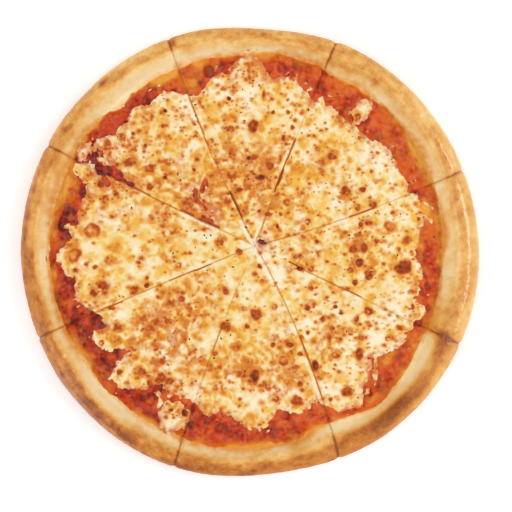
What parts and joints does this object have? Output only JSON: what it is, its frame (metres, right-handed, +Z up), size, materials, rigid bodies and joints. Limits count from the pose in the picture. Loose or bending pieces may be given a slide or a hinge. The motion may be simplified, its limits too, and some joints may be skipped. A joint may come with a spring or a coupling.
{
  "type": "margherita pizza",
  "caption": "Round baked cheese and tomato pizza with a raised golden rim, cut through into slices that still lie together as a whole.",
  "frame": {"origin": "middle of the flat underside, at the centre of the outline's box", "axes": "+Z up through the toppings, +X along the longest width, +Y across it"},
  "size_m": [0.3016, 0.2952, 0.0177],
  "materials": {
    "crust": "baked bread, golden and lightly oiled",
    "sauce": "moist cooked tomato sauce",
    "cheese": "melted cheese with browned blisters and oil",
    "herbs": "dried herb flecks and pepper"
  },
  "bodies": {
    "root": {"crust_1": "crust", "sauce_1": "sauce", "cheese_1": "cheese", "crust_2": "crust", "sauce_2": "sauce", "cheese_2": "cheese", "crust_3": "crust", "sauce_3": "sauce", "cheese_3": "cheese", "crust_4": "crust", "sauce_4": "sauce", "cheese_4": "cheese", "crust_5": "crust", "sauce_5": "sauce", "cheese_5": "cheese", "crust_6": "crust", "sauce_6": "sauce", "cheese_6": "cheese", "crust_7": "crust", "sauce_7": "sauce", "cheese_7": "cheese", "crust_8": "crust", "sauce_8": "sauce", "cheese_8": "cheese", "cheese_pat_1": "cheese", "cheese_pat_2": "cheese", "cheese_pat_3": "cheese"}
  },
  "joints": []
}
